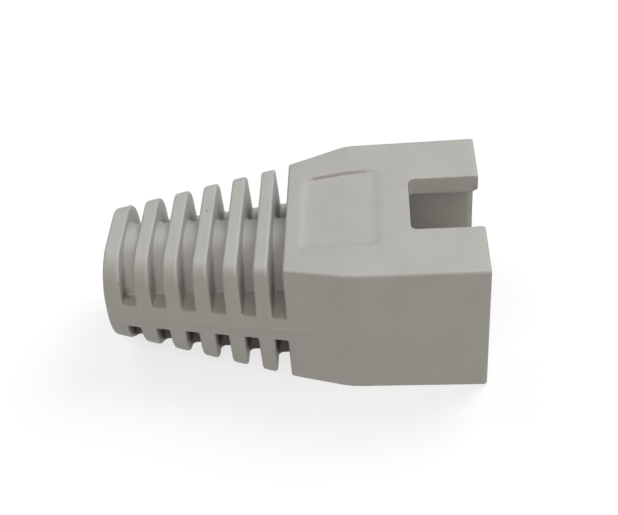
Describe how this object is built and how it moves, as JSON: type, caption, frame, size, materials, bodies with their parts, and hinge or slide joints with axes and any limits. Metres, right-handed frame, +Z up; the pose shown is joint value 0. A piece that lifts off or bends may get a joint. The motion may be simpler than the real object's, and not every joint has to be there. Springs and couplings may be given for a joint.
{
  "type": "modular plug strain relief boot",
  "caption": "Soft moulded boot for a modular network plug: rectangular shroud with a latch notch and a tapered, slotted tail.",
  "frame": {"origin": "centre of the boot's box in plan, on the flat that the shroud stands on", "axes": "+X along the cable axis out of the plug mouth, +Y across, +Z up to the latch notch"},
  "size_m": [0.026, 0.0148, 0.0103],
  "materials": {
    "soft_pvc": "satin moulded soft plastic, light warm grey"
  },
  "bodies": {
    "root": {"boot": "soft_pvc"}
  },
  "joints": []
}
